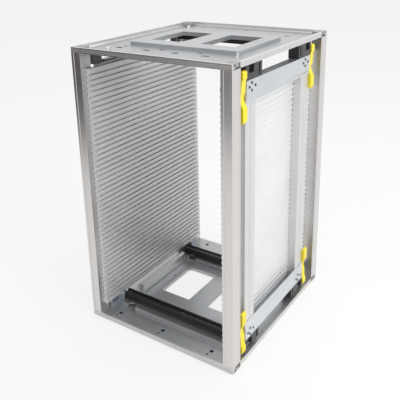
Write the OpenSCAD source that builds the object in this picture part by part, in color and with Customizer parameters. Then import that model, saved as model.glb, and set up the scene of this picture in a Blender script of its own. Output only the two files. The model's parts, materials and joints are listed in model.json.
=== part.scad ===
// PCB magazine rack: four columns between two framed sheet plates, a fixed grooved wall on the left
// and a grooved wall on the right that slides on toothed racks and is locked by four levers.

/* [Outside] */
// Width across the front
rack_w = 320; // [300:1:360]
// Depth from front to rear
rack_d = 355; // [345:1:400]
// Height
rack_h = 535; // [515:10:595]

/* [Frame] */
// Height of the edge profiles round each plate
rim_h = 9.5; // [8.5:0.5:11]
// Wall thickness of the edge profiles
rim_t = 4; // [3:0.5:5]
// Thickness of the sheet plates
sheet_t = 1.5; // [1:0.1:2]
// Column size across the front
col_w = 20; // [18:0.5:22]
// Column size from front to rear
col_d = 25; // [22:0.5:26]
// How far the middle of the base plate is pressed down
base_press = 3; // [2:0.5:5]
// How far the middle of the top plate is pressed up
top_press = 6.5; // [4:0.5:6.5]

/* [Walls] */
// Distance between board slots
pitch = 10; // [8:1:14]
// Height of one board slot
slot_h = 3.4; // [2.5:0.1:4]
// Depth of one board slot
slot_d = 5; // [4:0.25:5.5]
// Thickness of the grooved panels
panel_t = 8; // [7.5:0.25:8]
// Length of the grooved panels
panel_len = 332; // [320:1:334]
// Width of the upright stiles behind the panels
stile_w = 33; // [28:1:34]

/* [Slide and locks] */
// Width of the toothed racks
rack_y = 15; // [13:0.5:15]
// Height of the toothed racks on the base
base_rack_h = 16; // [14:0.5:18]
// Height of the toothed racks under the top plate
top_rack_h = 14; // [12:0.5:18]
// Tooth distance of the racks
tooth = 4; // [3:0.5:6]
// Free gap each side of a rack in its slide block
slide_gap = 0.4; // [0.3:0.05:0.6]
// Radius of the lever pins
pin_r = 2.5; // [2:0.1:3]
// Running gap between lever and pin
pin_gap = 0.08; // [0.05:0.01:0.1]

/* [Hidden] */
plate_in = rim_h;                       // inner face of the base plate
plate_out = rim_h - sheet_t;            // outer face of the base plate
tray_h = 6;
tray_top = plate_in + tray_h;           // top of the rack trays
bridge_t = 3.1;                         // slide block above the rack
bar_lo = tray_top + base_rack_h + slide_gap + bridge_t;     // lower end of the wall frames
bar_h = 35;                             // height of the cross bars
bar_t = 2;                              // sheet thickness of the cross bars
wall_out = 3;                           // wall frames sit this far inside the outer face
frame_x = col_w;                        // depth of the wall frames, flush with the columns
stile_x = frame_x - wall_out - bar_t;   // depth of the stiles
panel_x0 = rack_w - col_w - panel_t;    // inner face of the sliding panel
panel_y0 = (rack_d - panel_len) / 2;    // front end of both panels
groove_z0 = 36;                         // height of the lowest board slot
left_lo = groove_z0 - 10;               // lower edge of the fixed panel
right_lo = bar_lo + 2.5;                // lower edge of the sliding panel
panel_hi = rack_h - right_lo - 1;       // upper edge of both panels
slots = floor((panel_hi - 7 - groove_z0) / pitch) + 1;
bar_y0 = 49;                            // front end of the cross bars
bar_len = rack_d - 119;                 // length of the cross bars
stile_ys = [48, bar_y0 + bar_len - stile_w + 1];
rack_mid_y = [63.5, rack_d - 81.5];     // middle of the front and rear racks
tray_y0s = [43, rack_d - 97];           // front faces of the trays
tray_w = 43;
rack_x0 = 34;                           // left end of racks and trays
rack_x1 = rack_w - 8;                   // right end of racks and trays
block_x = 20;                           // slide block size along the travel
block_y0s = [46.5, rack_d - 119.5];     // front faces of the slide blocks
block_len = 51.5;
block_clear = 0.5;                      // under a slide block
lever_t = 13;                           // lever thickness
lever_gap = 0.5;                        // between lever and slide block
pivot_in = 7.5;                         // lever pivot, from the outer face
pivot_z = 27;                           // lever pivot, from the floor and from the top
tri = 0.01;

// ---- shared placing ----

// the middle of the floor face is the origin, parts are laid out from the front left corner
module placed() {
    translate([-rack_w / 2, -rack_d / 2, 0]) children();
}

module at_top() {
    translate([0, 0, rack_h]) mirror([0, 0, 1]) children();
}

module at_right() {
    translate([rack_w, 0, 0]) mirror([1, 0, 0]) children();
}

module at_rear() {
    translate([0, rack_d, 0]) mirror([0, 1, 0]) children();
}

// extrudes a section drawn in (y, z) along x
module along_x(x0, len) {
    translate([x0, 0, 0]) rotate([90, 0, 90]) linear_extrude(len) children();
}

// extrudes a section drawn in (x, z) along y
module along_y(y0, len) {
    translate([0, y0 + len, 0]) rotate([90, 0, 0]) linear_extrude(len) children();
}

module rounded(w, d, r) {
    translate([r, 0]) square([w - 2 * r, d]);
    translate([0, r]) square([w, d - 2 * r]);
    for (x = [r, w - r], y = [r, d - r]) translate([x, y]) circle(r, $fn = 48);
}

module slot2d(len, w) {
    translate([-(len - w) / 2, -w / 2]) square([len - w, w]);
    for (s = [-1, 1]) translate([s * (len - w) / 2, 0]) circle(w / 2, $fn = 32);
}

// a screw standing on z = 0 with its head below, hex socket in the head
module cap_screw(shaft_r, shaft_l, head_r, head_h) {
    cylinder(h = shaft_l, r = shaft_r, $fn = 32);
    difference() {
        translate([0, 0, -head_h]) cylinder(h = head_h, r = head_r, $fn = 36);
        translate([0, 0, -head_h - 1]) cylinder(h = 1 + head_h * 0.6, r = head_r * 0.55, $fn = 6);
    }
}

// ---- plates ----

press_x = 47;
press_w = rack_w - 2 * press_x;
press_d = 162;
press_y = (rack_d - press_d + 1) / 2;
window_xs = [72, 180];
window_w = 68;
window_y = press_y + 34;
window_d = 104;
column_hole_r = 2.7;
column_x = col_w / 2;
column_y = col_d / 2;

top_flange_h = 8;                       // ends above the slide blocks
clip_spots = [[47, 44], [30, rack_d - 39]];
clip_len = 12;
clip_w = 5;
clip_h = 5;

module plate_outline() {
    translate([rim_t, rim_t]) square([rack_w - 2 * rim_t, rack_d - 2 * rim_t]);
}

module plate_holes() {
    for (x = [column_x, rack_w - column_x], y = [column_y, rack_d - column_y])
        translate([x, y]) circle(column_hole_r, $fn = 32);
    // border holes in pairs
    for (x = [54, 156, 264], end = [0, 1]) {
        translate([x, end ? rack_d - 21 : 21]) circle(3.6, $fn = 32);
        translate([x - 3, end ? rack_d - 11 : 11]) circle(2, $fn = 32);
    }
    // fixing slots of the trays
    for (x = [50, 110, 170, 230], y = [68, rack_d - 63]) translate([x, y]) slot2d(16, 9);
    for (x = [52, 132, 210]) translate([x, 84]) slot2d(11, 7.5);
    translate([283, 88]) circle(2, $fn = 32);
    translate([260, rack_d - 50]) slot2d(13, 8);
}

module window_holes() {
    for (x = window_xs) translate([x, window_y]) square([window_w, window_d]);
    for (x = [64, 258]) translate([x, window_y + 57]) circle(1.8, $fn = 32);
}

// pressed middle and windows with drawn flanges, which both go down
module plate_body(press_h, flange_z, flange_h) {
    press_out = plate_out - press_h;
    translate([0, 0, plate_out]) linear_extrude(sheet_t) difference() {
        plate_outline();
        plate_holes();
        translate([press_x + sheet_t, press_y + sheet_t])
            rounded(press_w - 2 * sheet_t, press_d - 2 * sheet_t, 6);
    }
    translate([0, 0, press_out]) linear_extrude(press_h) difference() {
        translate([press_x, press_y]) rounded(press_w, press_d, 7.5);
        translate([press_x + sheet_t, press_y + sheet_t])
            rounded(press_w - 2 * sheet_t, press_d - 2 * sheet_t, 6);
    }
    translate([0, 0, press_out]) linear_extrude(sheet_t) difference() {
        translate([press_x, press_y]) rounded(press_w, press_d, 7.5);
        window_holes();
    }
    translate([0, 0, flange_z]) linear_extrude(flange_h) for (x = window_xs) difference() {
        translate([x - sheet_t, window_y - sheet_t]) square([window_w + 2 * sheet_t, window_d + 2 * sheet_t]);
        translate([x, window_y]) square([window_w, window_d]);
    }
}

module base_plate() {
    flange_z = 0.5;
    color("#a9adb1") placed() plate_body(base_press, flange_z, plate_out - base_press + sheet_t - flange_z);
}

module top_plate() {
    color("#a9adb1") placed() at_top() plate_body(top_press, plate_out - top_press, top_flange_h);
}

// ---- edge profiles ----

ledge = 6;                              // stays clear of the column screws
line_d = 0.6;

module rim_section() {
    difference() {
        union() {
            square([rim_t, rim_h]);
            translate([rim_t - tri, plate_out - 2]) square([ledge + tri, 2]);
        }
        for (z = [rim_h * 0.3, rim_h * 0.62]) translate([-1, z]) square([1 + line_d, 1]);
    }
}

module rim_long() {
    along_x(0, rack_w) rim_section();
}

module rim_short() {
    multmatrix([[0, 1, 0, 0], [1, 0, 0, 0], [0, 0, 1, 0], [0, 0, 0, 1]])
        along_x(col_d, rack_d - 2 * col_d) rim_section();
}

module base_rim_front() { color("#c9c7c4") placed() rim_long(); }
module base_rim_rear() { color("#c9c7c4") placed() at_rear() rim_long(); }
module base_rim_left() { color("#c9c7c4") placed() rim_short(); }
module base_rim_right() { color("#c9c7c4") placed() at_right() rim_short(); }
module top_rim_front() { color("#c9c7c4") placed() at_top() rim_long(); }
module top_rim_rear() { color("#c9c7c4") placed() at_top() at_rear() rim_long(); }
module top_rim_left() { color("#c9c7c4") placed() at_top() rim_short(); }
module top_rim_right() { color("#c9c7c4") placed() at_top() at_right() rim_short(); }

// ---- corner blocks in the notches between the profiles ----

corner_h = plate_out - 2;

module corner_block() {
    difference() {
        translate([0, rim_t, 0]) cube([col_w, col_d - rim_t, corner_h]);
        translate([column_x, column_y, -1]) cylinder(h = corner_h + 2, r = column_hole_r, $fn = 32);
        translate([column_x, column_y, -1]) cylinder(h = 1 + 3.4, r = 4.8, $fn = 36);
        translate([-1, rim_t + 2, 1]) cube([3.4, 3.4, corner_h - 2]);
        translate([-1, col_d - 5.4, 1]) cube([3.4, 3.4, corner_h - 2]);
    }
}

module corner_blocks() {
    corner_block();
    at_right() corner_block();
    at_rear() corner_block();
    at_right() at_rear() corner_block();
}

module base_corner_blocks() { color("#8f9194") placed() corner_blocks(); }
module top_corner_blocks() { color("#8f9194") placed() at_top() corner_blocks(); }

// ---- columns ----

bore_r = 2.2;

// corner of the rack at the section's origin, outer faces along both axes
module column_section() {
    wall = 2;
    difference() {
        square([col_w, col_d]);
        difference() {
            translate([wall, wall + 0.6]) square([col_w - 2 * wall, col_d - 2 * wall - 0.6]);
            translate([column_x, column_y]) circle(4, $fn = 40);
            translate([wall, column_y - 0.8]) square([col_w - 2 * wall, 1.6]);
        }
        translate([column_x, column_y]) circle(bore_r, $fn = 32);
        // broad shallow channel on the end face, fine lines on the side faces
        translate([5, -1]) square([col_w - 10, 1.9]);
        translate([-1, col_d - 5]) square([1.6, 1]);
        translate([col_w - 0.6, col_d - 5]) square([1.6, 1]);
    }
}

module column() {
    translate([0, 0, plate_in]) linear_extrude(rack_h - 2 * plate_in) column_section();
}

module column_front_left() { color("#cfccc8") placed() column(); }
module column_front_right() { color("#cfccc8") placed() at_right() column(); }
module column_rear_left() { color("#cfccc8") placed() at_rear() column(); }
module column_rear_right() { color("#cfccc8") placed() at_right() at_rear() column(); }

module column_screw() {
    translate([column_x, column_y, 3.4]) cap_screw(2.1, 22, 4.2, 3);
}

module column_screws() {
    color("#6e7072") placed() {
        for (top = [0, 1], right = [0, 1], rear = [0, 1])
            translate([right ? rack_w : 0, rear ? rack_d : 0, top ? rack_h : 0])
                mirror([right, 0, 0]) mirror([0, rear, 0]) mirror([0, 0, top]) column_screw();
    }
}

// bright clips on the top plate beside their holes
module top_clips() {
    color("#d8d9da") placed() at_top() for (spot = clip_spots) translate([spot.x, spot.y, plate_out])
        mirror([0, 0, 1]) linear_extrude(clip_h) rotate(90) slot2d(clip_len, clip_w);
}

// ---- trays and toothed racks ----

notch_x = 62;
notch_r = 9;

module tray(y0) {
    difference() {
        translate([0, y0, 0]) along_x(rack_x0, rack_x1 - rack_x0) {
            translate([0, tray_top - sheet_t]) square([tray_w, sheet_t]);
            for (y = [0, tray_w - sheet_t]) translate([y, plate_in]) square([sheet_t, tray_h]);
        }
        translate([notch_x, y0, plate_in - 1]) cylinder(h = tray_h + 2, r = notch_r, $fn = 64);
    }
}

module base_tray_front() { color("#b4b7ba") placed() tray(tray_y0s[0]); }
module base_tray_rear() { color("#b4b7ba") placed() tray(tray_y0s[1]); }

rack_screw_xs = [rack_x0 + 8, (rack_x0 + rack_x1) / 2, rack_x1 - 30];
channel_w = 8;
channel_d = 3.5;
rack_bore_r = 1.6;

// a rack on the seat height, with a channel of teeth along its top
module toothed_rack(end, seat, height) {
    len = rack_x1 - rack_x0;
    count = floor((len - 4) / tooth);
    floor_z = seat + height - channel_d;
    mid = rack_mid_y[end];
    difference() {
        union() {
            translate([0, mid - rack_y / 2, 0]) along_x(rack_x0, len) difference() {
                translate([0, seat]) square([rack_y, height]);
                translate([(rack_y - channel_w) / 2, floor_z]) square([channel_w, height]);
                for (y = [-1, rack_y - 0.8]) translate([y, seat + height * 0.45]) square([1.8, 1.6]);
            }
            along_y(mid - channel_w / 2, channel_w) polygon(concat(
                [[rack_x0, floor_z - 1]],
                [for (i = [0 : count - 1], p = [[0, 0], [0.5, 2.2], [0.8, 2.2]])
                    [rack_x0 + 2 + (i + p.x) * tooth, floor_z + p.y]],
                [[rack_x0 + 2 + count * tooth, floor_z], [rack_x1, floor_z], [rack_x1, floor_z - 1]]));
        }
        for (x = rack_screw_xs) translate([x, mid, seat - 1]) {
            cylinder(h = height + 2, r = rack_bore_r, $fn = 32);
            translate([0, 0, 1 + height - channel_d - 2]) cylinder(h = 8, r = 3.4, $fn = 36);
        }
    }
}

module base_rack_front() { color("#1b1b1d") placed() toothed_rack(0, tray_top, base_rack_h); }
module base_rack_rear() { color("#1b1b1d") placed() toothed_rack(1, tray_top, base_rack_h); }
module top_rack_front() { color("#1b1b1d") placed() at_top() toothed_rack(0, plate_in, top_rack_h); }
module top_rack_rear() { color("#1b1b1d") placed() at_top() toothed_rack(1, plate_in, top_rack_h); }

module rack_screw(seat, height) {
    head_z = seat + height - channel_d - 2;
    translate([0, 0, head_z]) mirror([0, 0, 1]) cap_screw(rack_bore_r - 0.1, head_z - seat, 3, 2);
}

module rack_screws() {
    color("#8b8d90") placed() for (x = rack_screw_xs, y = rack_mid_y) translate([x, y, 0]) {
        rack_screw(tray_top, base_rack_h);
        at_top() rack_screw(plate_in, top_rack_h);
    }
}

// bar on the base plate that stops the sliding wall's travel, with an angle at each end
side_bar_x = 37;
side_bar_w = 10;
side_bar_h = 15.5;
side_bar_y = press_y + 3;
side_bar_len = press_d - 10;
angle_foot = 5.5;

module base_side_bar() {
    color("#d4d6d8") placed() along_y(side_bar_y, side_bar_len) difference() {
        translate([side_bar_x, plate_in]) square([side_bar_w, side_bar_h]);
        translate([side_bar_x + side_bar_w / 2 - 0.8, plate_in + side_bar_h - 1]) square([1.6, 2]);
    }
}

module side_bar_angle() {
    translate([side_bar_x - 2, side_bar_y - sheet_t, plate_in]) cube([side_bar_w, sheet_t, side_bar_h + 1]);
    translate([side_bar_x - 2, side_bar_y - angle_foot, plate_in]) cube([side_bar_w, angle_foot, sheet_t]);
}

module side_bar_angles() {
    color("#c9cbcd") placed() {
        side_bar_angle();
        translate([0, 2 * side_bar_y + side_bar_len, 0]) mirror([0, 1, 0]) side_bar_angle();
    }
}

// ---- grooved panels ----

// section in (x, z), back at x = 0, grooves open towards +x
module panel_section(lo, hi, mouth) {
    first = ceil((lo + 4 - groove_z0) / pitch);
    difference() {
        translate([0, lo]) square([panel_t, hi - lo]);
        for (i = [first : slots - 1]) {
            z = groove_z0 + i * pitch;
            translate([panel_t - slot_d, z - mouth / 2]) square([slot_d + 1, mouth]);
            if (z + pitch < hi) translate([-1, z + pitch / 2 - 2]) square([2, 4]);
        }
    }
}

// the slots widen at both ends so that boards find their way in
module grooved_panel(lo, hi) {
    lead = 8;
    along_y(panel_y0, lead) panel_section(lo, hi, slot_h + 2);
    along_y(panel_y0 + lead, panel_len - 2 * lead) panel_section(lo, hi, slot_h);
    along_y(panel_y0 + panel_len - lead, lead) panel_section(lo, hi, slot_h + 2);
}

module fixed_panel() {
    color("#d5d5d5") placed() translate([col_w, 0, 0]) grooved_panel(left_lo, panel_hi);
}

module sliding_panel() {
    color("#d5d5d5") placed() at_right() translate([col_w, 0, 0]) grooved_panel(right_lo, panel_hi);
}

// ---- wall frames, drawn for the left side ----

stile_lo = bar_lo + bar_t;
stile_h = rack_h - 2 * stile_lo;
screw_x = wall_out + bar_t;

module stile(y0) {
    wall = 2;
    translate([wall_out + bar_t, y0, stile_lo]) linear_extrude(stile_h) difference() {
        square([stile_x, stile_w]);
        translate([wall, wall]) square([stile_x - 2 * wall, stile_w - 2 * wall]);
        translate([-1, stile_w / 2 - 1]) square([1.5, 2]);
    }
}

module cross_bar() {
    along_y(bar_y0, bar_len) {
        translate([wall_out, bar_lo]) square([frame_x - wall_out, bar_t]);
        translate([wall_out, bar_lo]) square([bar_t, bar_h - 7]);
        translate([wall_out + 0.8, bar_lo]) square([bar_t - 0.8, bar_h]);
    }
}

// four screws in a diamond at both ends of a cross bar
diamond = [[0, -9.5], [0, 9.5], [6, -2], [-6, -2]];
diamond_ys = [67, bar_y0 + bar_len - 18];
diamond_z = bar_lo + 11;

module wall_screws() {
    for (top = [0, 1], y = diamond_ys, d = diamond)
        translate([wall_out, y + d.y, top ? rack_h - diamond_z - d.x : diamond_z + d.x])
            rotate([0, 90, 0]) mirror([0, 0, 1]) cylinder(h = 0.8, r = 2.2, $fn = 28);
}

module fixed_stile_front() { color("#cfcdca") placed() stile(stile_ys[0]); }
module fixed_stile_rear() { color("#cfcdca") placed() stile(stile_ys[1]); }
module fixed_bar_base() { color("#c4c6c8") placed() cross_bar(); }
module fixed_bar_top() { color("#c4c6c8") placed() at_top() cross_bar(); }
module fixed_screws() { color("#5c5d60") placed() wall_screws(); }
module sliding_stile_front() { color("#cfcdca") placed() at_right() stile(stile_ys[0]); }
module sliding_stile_rear() { color("#cfcdca") placed() at_right() stile(stile_ys[1]); }
module sliding_bar_base() { color("#c4c6c8") placed() at_right() cross_bar(); }
module sliding_bar_top() { color("#c4c6c8") placed() at_right() at_top() cross_bar(); }
module sliding_screws() { color("#5c5d60") placed() at_right() wall_screws(); }

// ---- what holds the fixed wall ----

mech_ends = [bar_y0, bar_y0 + bar_len];
bracket_x = 6;
bracket_len = 21;
bracket_ys = [mech_ends[0] + 5 - bracket_len, mech_ends[1] - 5];
hanger_len = 30;
hanger_in = 51;
hanger_ys = [mech_ends[0] + hanger_in, mech_ends[1] - hanger_in - hanger_len];
pad_h = 3;
pad_ahead = 38;

module fixed_brackets() {
    color("#55585b") placed() for (y = bracket_ys, top = [0, 1])
        translate([bracket_x, y, top ? rack_h - bar_lo : plate_in])
            cube([frame_x - bracket_x, bracket_len, bar_lo - plate_in]);
}

skirt_len = 30;

module skirt() {
    x0 = col_w + 2;
    difference() {
        along_y(col_d + 1, skirt_len) {
            translate([x0, plate_in]) square([sheet_t, left_lo - plate_in]);
            translate([x0, plate_in]) square([11, sheet_t]);
        }
        for (y = [34, 44]) translate([x0 - 1, y, left_lo - 5.5])
            rotate([90, 0, 90]) linear_extrude(3) slot2d(7, 3.4);
    }
    translate([x0, col_d + 1 + skirt_len - sheet_t, plate_in]) cube([12, sheet_t, left_lo - plate_in]);
}

module fixed_skirts() {
    color("#9aa0a6") placed() {
        skirt();
        at_rear() skirt();
    }
}

module fixed_hangers() {
    color("#6f6860") placed() for (y = hanger_ys) difference() {
        translate([bracket_x, y, rack_h - bar_lo + pad_h])
            cube([frame_x - bracket_x, hanger_len, bar_lo - pad_h - plate_in]);
        translate([bracket_x - 1, y + 3, rack_h - bar_lo + pad_h + 3])
            cube([frame_x - bracket_x - 1, hanger_len - 6, bar_lo - pad_h - plate_in - 6]);
    }
}

module fixed_pads() {
    color("#1b1b1d") placed() for (y = [hanger_ys[0] - pad_ahead, hanger_ys[1]])
        translate([bracket_x, y, rack_h - bar_lo]) cube([frame_x - bracket_x, hanger_len + pad_ahead, pad_h]);
}

// ---- slide blocks, drawn for the left side of the base ----

function lever_y(end) = end ? block_y0s[1] + block_len + lever_gap : block_y0s[0] - lever_gap - lever_t;
// inner end of a lever pin, next to the rack's channel
function pin_y(end) = rack_mid_y[end] + (end ? 1 : -1) * (rack_y / 2 + slide_gap + 0.6);

// a block that rides over a rack of the given seat and height
module slide_block(end, seat, height) {
    y0 = block_y0s[end];
    lo = seat + block_clear;
    channel_h = height - block_clear + slide_gap;
    difference() {
        translate([wall_out, y0, lo]) cube([block_x, block_len, bar_lo - lo]);
        translate([wall_out - 1, rack_mid_y[end] - rack_y / 2 - slide_gap, lo - 1])
            cube([block_x + 2, rack_y + 2 * slide_gap, channel_h + 1]);
        translate([wall_out - 1, end ? y0 + 6 : y0 + block_len - 10, lo + 3]) cube([4, 4, bar_lo - lo - 6]);
        translate([pivot_in, pin_y(end), pivot_z]) rotate([end ? -90 : 90, 0, 0])
            cylinder(h = block_len, r = pin_r, $fn = 32);
    }
}

module slide_block_base_front() {
    color("#26262a") placed() at_right() slide_block(0, tray_top, base_rack_h);
}
module slide_block_base_rear() {
    color("#26262a") placed() at_right() slide_block(1, tray_top, base_rack_h);
}
module slide_block_top_front() {
    color("#26262a") placed() at_right() at_top() slide_block(0, plate_in, top_rack_h);
}
module slide_block_top_rear() {
    color("#26262a") placed() at_right() at_top() slide_block(1, plate_in, top_rack_h);
}

module lever_pin(end) {
    len = end ? lever_y(1) + lever_t + 0.5 - pin_y(1) : pin_y(0) - lever_y(0) + 0.5;
    translate([pivot_in, pin_y(end), pivot_z]) rotate([end ? -90 : 90, 0, 0]) {
        cylinder(h = len, r = pin_r, $fn = 32);
        translate([0, 0, len]) cylinder(h = 1.5, r = pin_r + 1.5, $fn = 32);
    }
}

module lever_pins() {
    color("#8a6a3a") placed() at_right() for (end = [0, 1]) {
        lever_pin(end);
        at_top() lever_pin(end);
    }
}

// ---- levers, drawn for the left side of the base: outwards is -x, the grip points up ----

module lever_side() {
    grip_out = 0.1 - pivot_in;          // the grip ends just inside the rack's outer face
    difference() {
        union() {
            circle(7, $fn = 48);
            translate([-2.5, -5.5]) circle(4.5, $fn = 48);
            polygon([[6, 2], [4, 20], [4.5, 30], [5.5, 36], [4.2, 42], [-1.2, 56], [-2.2, 71], [-5, 72.5],
                [grip_out, 69], [grip_out, 49], [-1.5, 37], [-1, 33], [-3.8, 24], [-4.5, 8], [-6, 2]]);
        }
        circle(pin_r + pin_gap, $fn = 48);
    }
}

module lever(end) {
    translate([pivot_in, lever_y(end) + lever_t, pivot_z])
        rotate([90, 0, 0]) linear_extrude(lever_t) lever_side();
}

module lever_base_front() { color("#f7e326") placed() at_right() lever(0); }
module lever_base_rear() { color("#f7e326") placed() at_right() lever(1); }
module lever_top_front() { color("#f7e326") placed() at_right() at_top() lever(0); }
module lever_top_rear() { color("#f7e326") placed() at_right() at_top() lever(1); }

base_plate();
top_plate();
base_rim_front();
base_rim_rear();
base_rim_left();
base_rim_right();
top_rim_front();
top_rim_rear();
top_rim_left();
top_rim_right();
base_corner_blocks();
top_corner_blocks();
column_front_left();
column_front_right();
column_rear_left();
column_rear_right();
column_screws();
top_clips();
base_tray_front();
base_tray_rear();
base_rack_front();
base_rack_rear();
top_rack_front();
top_rack_rear();
rack_screws();
base_side_bar();
side_bar_angles();
fixed_panel();
fixed_stile_front();
fixed_stile_rear();
fixed_bar_base();
fixed_bar_top();
fixed_brackets();
fixed_skirts();
fixed_hangers();
fixed_pads();
fixed_screws();
sliding_panel();
sliding_stile_front();
sliding_stile_rear();
sliding_bar_base();
sliding_bar_top();
slide_block_base_front();
slide_block_base_rear();
slide_block_top_front();
slide_block_top_rear();
sliding_screws();
lever_pins();
lever_base_front();
lever_base_rear();
lever_top_front();
lever_top_rear();
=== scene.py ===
import json
import math
import bmesh
import bpy
from mathutils import Matrix, Quaternion, Vector


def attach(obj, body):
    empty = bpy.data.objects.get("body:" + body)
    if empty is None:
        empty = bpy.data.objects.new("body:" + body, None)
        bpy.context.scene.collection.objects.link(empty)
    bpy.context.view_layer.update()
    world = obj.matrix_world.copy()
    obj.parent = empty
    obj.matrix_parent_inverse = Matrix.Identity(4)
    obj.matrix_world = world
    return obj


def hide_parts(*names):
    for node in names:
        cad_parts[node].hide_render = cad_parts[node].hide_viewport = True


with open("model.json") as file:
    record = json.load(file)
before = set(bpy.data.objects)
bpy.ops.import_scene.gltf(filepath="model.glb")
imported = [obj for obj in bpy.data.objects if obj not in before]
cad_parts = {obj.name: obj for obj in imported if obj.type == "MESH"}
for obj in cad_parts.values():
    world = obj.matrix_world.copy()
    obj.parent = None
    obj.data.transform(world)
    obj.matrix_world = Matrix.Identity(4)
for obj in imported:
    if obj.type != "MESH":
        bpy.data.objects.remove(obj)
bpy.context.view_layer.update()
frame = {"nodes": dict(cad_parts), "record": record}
nodes = frame["nodes"]
print("frame loaded:", len(nodes), "nodes")

mm = 0.001


# ---- shader sockets as Python values ----

class Value:                              # wraps one output socket, so that maths reads as maths
    def __init__(self, recipe, socket):
        self.recipe = recipe
        self.socket = socket

    def maths(self, operation, *others):
        inputs = dict(enumerate((self,) + others))
        return self.recipe.add("ShaderNodeMath", {"operation": operation}, inputs).out("Value")

    def __add__(self, other):
        return self.maths("ADD", other)

    def __mul__(self, other):
        return self.maths("MULTIPLY", other)

    def __sub__(self, other):
        return self.maths("SUBTRACT", other)

    __radd__ = __add__
    __rmul__ = __mul__

    def smooth(self, low, high):          # 0 below low, 1 above high
        step = {"interpolation_type": "SMOOTHSTEP"}
        ends = {"Value": self, "From Min": low, "From Max": high}
        return self.recipe.add("ShaderNodeMapRange", step, ends).out("Result")


class Made:                               # one node, asked for its outputs by name
    def __init__(self, recipe, node):
        self.recipe = recipe
        self.node = node

    def out(self, name):
        return Value(self.recipe, self.node.outputs[name])


class Recipe:                             # one material or world tree
    def __init__(self, tree):
        self.tree = tree
        self.tree.nodes.clear()

    def add(self, kind, settings, inputs):
        node = self.tree.nodes.new(kind)
        for name, value in settings.items():
            setattr(node, name, value)
        for name, value in inputs.items():
            if isinstance(value, Value):
                self.tree.links.new(value.socket, node.inputs[name])
            else:
                node.inputs[name].default_value = value
        return Made(self, node)

    def place(self, scale=(1, 1, 1)):     # object coordinates, stretched
        coordinates = self.add("ShaderNodeTexCoord", {}, {}).out("Object")
        return self.add("ShaderNodeVectorMath", {"operation": "MULTIPLY"},
                        {0: coordinates, 1: scale}).out("Vector")

    def noise(self, scale, detail=3.0, rough=0.5, stretch=(1, 1, 1)):
        return self.add("ShaderNodeTexNoise", {}, {"Vector": self.place(stretch), "Scale": scale,
                        "Detail": detail, "Roughness": rough}).out("Fac")

    def mix(self, factor, first, second):  # two colours
        return self.add("ShaderNodeMix", {"data_type": "RGBA"},
                        {"Factor": factor, 6: first, 7: second}).out(2)

    def bump(self, height, strength, distance):
        return self.add("ShaderNodeBump", {}, {"Height": height, "Strength": strength,
                        "Distance": distance}).out("Normal")


def newRecipe(name):
    material = bpy.data.materials.new(name)
    material.use_nodes = True
    return material, Recipe(material.node_tree)


def surface(recipe, inputs):              # a principled shader, wired to the output
    shader = recipe.add("ShaderNodeBsdfPrincipled", {}, inputs).out("BSDF")
    recipe.add("ShaderNodeOutputMaterial", {}, {"Surface": shader})


def tint(colour, amount):
    return tuple(min(1, c * amount) for c in colour[:3]) + (1,)


# ---- finishes ----

def drawnMetal(name, look):
    material, recipe = newRecipe(name)
    along = look["along"]                 # the axis of the brushing
    thin = [150 if axis != along else 1.0 for axis in range(3)]
    streaks = recipe.noise(14, 3, 0.55, thin)
    fine = recipe.noise(60, 2, 0.5, thin)
    clouds = recipe.noise(9, 3, 0.55)
    scuffs = recipe.noise(38, 5, 0.7).smooth(0.62, 0.8)
    shade = (streaks - 0.5) * look["contrast"] + (clouds - 0.5) * look["clouds"] + 0.5
    colour = recipe.mix(shade, tint(look["colour"], 0.72), tint(look["colour"], 1.24))
    roughness = look["roughness"] + (fine - 0.5) * 0.12 + (clouds - 0.5) * 0.14 + scuffs * 0.08
    height = streaks * 0.6 + fine * 0.4
    surface(recipe, {"Base Color": colour, "Metallic": look["metallic"], "Roughness": roughness,
                     "Normal": recipe.bump(height, look["relief"], 0.0004)})
    return material


def mouldedPlastic(name, look):
    material, recipe = newRecipe(name)
    grain = recipe.noise(2600, 2, 0.5)
    flow = recipe.noise(26, 3, 0.5)
    rub = recipe.noise(60, 5, 0.65).smooth(0.58, 0.78)
    colour = recipe.mix(flow * 0.6 + rub * 0.25, tint(look["colour"], 0.86), tint(look["colour"], look["lift"]))
    roughness = look["roughness"] + (flow - 0.5) * 0.16 + rub * 0.1
    surface(recipe, {"Base Color": colour, "Roughness": roughness, "Specular IOR Level": 0.5,
                     "Normal": recipe.bump(grain, look["relief"], 0.0002)})
    return material


def platedSteel(name, look):
    material, recipe = newRecipe(name)
    blotch = recipe.noise(look["scale"], 4, 0.6)
    fine = recipe.noise(1500, 2, 0.5)
    colour = recipe.mix(blotch, tint(look["colour"], 0.75), tint(look["colour"], 1.2))
    roughness = look["roughness"] + (blotch - 0.5) * 0.25
    surface(recipe, {"Base Color": colour, "Metallic": look["metallic"], "Roughness": roughness,
                     "Normal": recipe.bump(fine, 0.15, 0.0002)})
    return material


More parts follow.
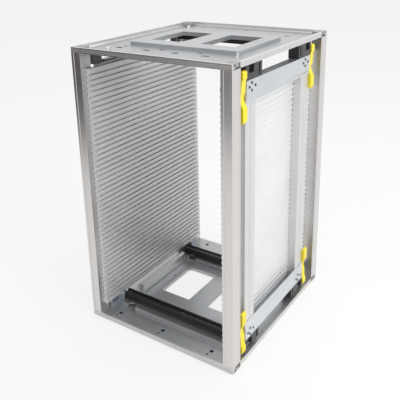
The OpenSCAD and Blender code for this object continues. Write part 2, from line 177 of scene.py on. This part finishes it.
finishes = {
    "plateZinc": {"colour": (0.47, 0.482, 0.495), "along": 0, "contrast": 0.35, "clouds": 0.5,
                  "roughness": 0.36, "metallic": 0.85, "relief": 0.12},
    "profile": {"colour": (0.72, 0.70, 0.685), "along": 2, "contrast": 0.22, "clouds": 0.2,
                "roughness": 0.3, "metallic": 0.95, "relief": 0.1},
    "rimAcross": {"colour": (0.70, 0.68, 0.665), "along": 0, "contrast": 0.22, "clouds": 0.2,
                  "roughness": 0.3, "metallic": 0.95, "relief": 0.1},
    "rimDeep": {"colour": (0.74, 0.73, 0.72), "along": 1, "contrast": 0.22, "clouds": 0.2,
                "roughness": 0.3, "metallic": 0.9, "relief": 0.1},
    "panel": {"colour": (0.78, 0.785, 0.79), "along": 1, "contrast": 0.25, "clouds": 0.3,
              "roughness": 0.4, "metallic": 0.3, "relief": 0.1},
    "stile": {"colour": (0.72, 0.72, 0.715), "along": 2, "contrast": 0.35, "clouds": 0.25,
              "roughness": 0.36, "metallic": 0.8, "relief": 0.14},
    "crossBar": {"colour": (0.67, 0.695, 0.715), "along": 1, "contrast": 0.35, "clouds": 0.5,
                 "roughness": 0.3, "metallic": 0.85, "relief": 0.12},
    "tray": {"colour": (0.6, 0.605, 0.61), "along": 0, "contrast": 0.35, "clouds": 0.4,
             "roughness": 0.34, "metallic": 0.85, "relief": 0.12},
    "sideBar": {"colour": (0.88, 0.88, 0.88), "along": 1, "contrast": 0.3, "clouds": 0.2,
                "roughness": 0.24, "metallic": 0.9, "relief": 0.12},
    "skirt": {"colour": (0.56, 0.6, 0.65), "along": 1, "contrast": 0.3, "clouds": 0.5,
              "roughness": 0.36, "metallic": 0.85, "relief": 0.12},
    "casting": {"colour": (0.4, 0.4, 0.405), "along": 2, "contrast": 0.2, "clouds": 0.5,
                "roughness": 0.5, "metallic": 0.8, "relief": 0.3},
    "bracket": {"colour": (0.12, 0.12, 0.12), "along": 2, "contrast": 0.2, "clouds": 0.3,
                "roughness": 0.45, "metallic": 0.3, "relief": 0.2},
}
paints = {name: drawnMetal(name, look) for name, look in finishes.items()}
plastics = {
    "rackBlack": {"colour": (0.012, 0.012, 0.013), "lift": 1.9, "roughness": 0.34, "relief": 0.2},
    "blockBlack": {"colour": (0.03, 0.03, 0.034), "lift": 1.7, "roughness": 0.42, "relief": 0.25},
    "leverYellow": {"colour": (0.93, 0.77, 0.02), "lift": 1.07, "roughness": 0.34, "relief": 0.12},
}
paints.update({name: mouldedPlastic(name, look) for name, look in plastics.items()})
steels = {
    "zincScrew": {"colour": (0.46, 0.46, 0.47), "scale": 220, "roughness": 0.33, "metallic": 0.95},
    "darkScrew": {"colour": (0.07, 0.07, 0.08), "scale": 300, "roughness": 0.4, "metallic": 0.8},
    "brightClip": {"colour": (0.88, 0.88, 0.88), "scale": 120, "roughness": 0.18, "metallic": 0.95},
    "pinBrass": {"colour": (0.5, 0.38, 0.14), "scale": 260, "roughness": 0.3, "metallic": 0.95},
}
paints.update({name: platedSteel(name, look) for name, look in steels.items()})
print("finishes made:", len(paints))


# ---- pieces ----

bodyOf = {}
for bodyName, members in frame["record"]["behaviour"]["bodies"].items():
    for member in members:
        bodyOf[member] = bodyName


creaseAngle = math.radians(32)            # sharper folds stay sharp under smooth shading
bevelAngle = math.radians(40)
flatAngle = math.radians(0.8)             # faces this close to level are joined
weldDistance = 0.001 * mm
plainEdge = 0.25 * mm
softEdges = {"leverYellow": 1.3 * mm, "blockBlack": 0.5 * mm, "plateZinc": 0.5 * mm, "crossBar": 0.5 * mm}
plainSegments = 2
leverSegments = 3


def addPiece(name, form, paint, edge, segments):
    mesh = bpy.data.meshes.new(name)
    bmesh.ops.recalc_face_normals(form, faces=form.faces)
    form.to_mesh(mesh)
    form.free()
    mesh.polygons.foreach_set("use_smooth", [True] * len(mesh.polygons))
    mesh.set_sharp_from_angle(angle=creaseAngle)
    piece = bpy.data.objects.new(name, mesh)
    bpy.context.scene.collection.objects.link(piece)
    mesh.materials.append(paints[paint])
    bevel = piece.modifiers.new("edges", "BEVEL")
    bevel.width = edge
    bevel.segments = segments
    bevel.limit_method = "ANGLE"
    bevel.angle_limit = bevelAngle
    bevel.harden_normals = True
    return piece


def dressed(node, paint):                 # the CAD form with broken edges
    edge = softEdges.get(paint, plainEdge)
    segments = leverSegments if paint == "leverYellow" else plainSegments
    form = bmesh.new()
    form.from_mesh(nodes[node].data)
    bmesh.ops.remove_doubles(form, verts=form.verts, dist=weldDistance)
    bmesh.ops.dissolve_limit(form, angle_limit=flatAngle, verts=form.verts, edges=form.edges)
    piece = addPiece(node + "_body", form, paint, edge, segments)
    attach(piece, bodyOf[node])
    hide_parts(node)


dressing = {
    "plateZinc": ["base_plate", "top_plate"],
    "rimAcross": ["base_rim_front", "base_rim_rear", "top_rim_front", "top_rim_rear"],
    "rimDeep": ["base_rim_left", "base_rim_right", "top_rim_left", "top_rim_right"],
    "casting": ["base_corner_blocks", "top_corner_blocks"],
    "profile": ["column_front_left", "column_front_right", "column_rear_left", "column_rear_right"],
    "zincScrew": ["column_screws", "rack_screws"],
    "brightClip": ["top_clips"],
    "tray": ["base_tray_front", "base_tray_rear"],
    "rackBlack": ["base_rack_front", "base_rack_rear", "top_rack_front", "top_rack_rear", "fixed_pads"],
    "sideBar": ["base_side_bar", "side_bar_angles"],
    "panel": ["fixed_panel", "sliding_panel"],
    "stile": ["fixed_stile_front", "fixed_stile_rear", "sliding_stile_front", "sliding_stile_rear"],
    "crossBar": ["fixed_bar_base", "fixed_bar_top", "sliding_bar_base", "sliding_bar_top"],
    "bracket": ["fixed_brackets", "fixed_hangers"],
    "skirt": ["fixed_skirts"],
    "darkScrew": ["fixed_screws", "sliding_screws"],
    "blockBlack": ["slide_block_base_front", "slide_block_base_rear",
                   "slide_block_top_front", "slide_block_top_rear"],
    "pinBrass": ["lever_pins"],
    "leverYellow": ["lever_base_front", "lever_base_rear", "lever_top_front", "lever_top_rear"],
}
for paint, members in dressing.items():
    for node in members:
        dressed(node, paint)
print("nodes dressed:", sum(len(members) for members in dressing.values()))


# ---- studio ----

studio = {
    "floorSize": 80.0,
    "floorColour": (0.86, 0.86, 0.86, 1),
    "floorGlow": 0.8,
    "paintedShadowReach": 0.05,                   # painted shadow: the floor's white glow fades where the part stands this close
    "worldColour": (0.80, 0.81, 0.82, 1),
    "worldStrength": 0.62,
    "cards": [
        # name, place, aim, width, height
        ("cardFront", (-0.75, -1.0, 0.32), (0.0, -0.15, 0.32), 1.3, 0.62),
    ],
    "lamps": [
        # name, place, aim, size, watts
        ("keyRight", (1.9, -0.3, 1.3), (0.0, 0.0, 0.25), 1.3, 26),
        ("topSoft", (0.2, 0.4, 2.2), (0.0, 0.0, 0.3), 1.6, 17),
    ],
}


def flatSheet(name, width, height):
    x, y = width / 2, height / 2
    mesh = bpy.data.meshes.new(name)
    mesh.from_pydata([(-x, -y, 0), (x, -y, 0), (x, y, 0), (-x, y, 0)], [], [(0, 1, 2, 3)])
    return mesh


def addFloor():
    mesh = flatSheet("studio_floor", studio["floorSize"], studio["floorSize"])
    floor = bpy.data.objects.new("studio_floor", mesh)
    bpy.context.scene.collection.objects.link(floor)
    material, recipe = newRecipe("floorPaper")
    path = recipe.add("ShaderNodeLightPath", {}, {})
    seen = path.out("Is Camera Ray") + path.out("Is Glossy Ray") + path.out("Is Transmission Ray")
    # painted shadow: ambient occlusion removes the floor's white glow under and beside the part, leaving the
    # floor's real lit shade
    clear = recipe.add("ShaderNodeAmbientOcclusion", {}, {"Distance": studio["paintedShadowReach"]})
    clear = clear.out("AO").smooth(0.15, 0.75)
    paper = recipe.noise(70, 4, 0.6)
    colour = recipe.mix(paper, tint(studio["floorColour"], 0.985), tint(studio["floorColour"], 1.015))
    matte = recipe.add("ShaderNodeBsdfPrincipled", {}, {"Base Color": colour, "Roughness": 0.8,
                       "Emission Color": (1, 1, 1, 1), "Emission Strength": 0.0}).out("BSDF")
    glow = recipe.add("ShaderNodeEmission", {}, {"Color": (1, 1, 1, 1), "Strength": 1.0}).out("Emission")
    white = seen * clear * studio["floorGlow"]
    both = recipe.add("ShaderNodeMixShader", {}, {0: white, 1: matte, 2: glow}).out("Shader")
    recipe.add("ShaderNodeOutputMaterial", {}, {"Surface": both})
    mesh.materials.append(material)


def addWorld():
    world = bpy.data.worlds.new("studio")
    bpy.context.scene.world = world
    world.use_nodes = True
    recipe = Recipe(world.node_tree)
    path = recipe.add("ShaderNodeLightPath", {}, {})
    seen = path.out("Is Camera Ray") + path.out("Is Glossy Ray") + path.out("Is Transmission Ray")
    lit = recipe.add("ShaderNodeBackground", {}, {"Color": studio["worldColour"],
                     "Strength": studio["worldStrength"]}).out("Background")
    white = recipe.add("ShaderNodeBackground", {}, {"Color": (1, 1, 1, 1), "Strength": 1.0}).out("Background")
    both = recipe.add("ShaderNodeMixShader", {}, {0: seen, 1: lit, 2: white}).out("Shader")
    recipe.add("ShaderNodeOutputWorld", {}, {"Surface": both})


def turned(place, aim, roll=0.0):
    look = Vector(aim) - Vector(place)
    turn = look.to_track_quat("-Z", "Y") @ Quaternion((0, 0, 1), math.radians(roll))
    return Matrix.Translation(place) @ turn.to_matrix().to_4x4()


def addCards():                           # dark cards that give the bright metal something to mirror
    for name, place, aim, width, height in studio["cards"]:
        mesh = flatSheet(name, width, height)
        card = bpy.data.objects.new(name, mesh)
        card.matrix_world = turned(place, aim)
        card.visible_camera = False
        card.visible_diffuse = False
        card.visible_shadow = False
        material, recipe = newRecipe(name)
        felt = recipe.noise(30, 3, 0.5)
        colour = recipe.mix(felt, (0.025, 0.022, 0.02, 1), (0.045, 0.04, 0.038, 1))
        surface(recipe, {"Base Color": colour, "Roughness": 0.9})
        mesh.materials.append(material)
        bpy.context.scene.collection.objects.link(card)


def addLamps():
    for name, place, aim, size, watts in studio["lamps"]:
        data = bpy.data.lights.new(name, "AREA")
        data.size = size
        data.energy = watts
        lamp = bpy.data.objects.new(name, data)
        lamp.matrix_world = turned(place, aim)
        bpy.context.scene.collection.objects.link(lamp)


viewpoint = {
    "place": (0.5696, -0.8764, 0.7055),
    "aim": (-0.0046, -0.0463, 0.3817),
    "roll": -1.49,
    "lens": 52.26,
    "sensor": 36,
    "shift": (0.0232, -0.1864),
}


def addCamera():
    data = bpy.data.cameras.new("camera")
    data.sensor_width = viewpoint["sensor"]
    data.lens = viewpoint["lens"]
    data.shift_x, data.shift_y = viewpoint["shift"]
    data.clip_start = 0.01
    camera = bpy.data.objects.new("camera", data)
    camera.matrix_world = turned(viewpoint["place"], viewpoint["aim"], viewpoint["roll"])
    bpy.context.scene.collection.objects.link(camera)
    bpy.context.scene.camera = camera


addFloor()
addWorld()
addCards()
addLamps()
addCamera()
bpy.context.scene.view_settings.view_transform = "Standard"
print("studio set")
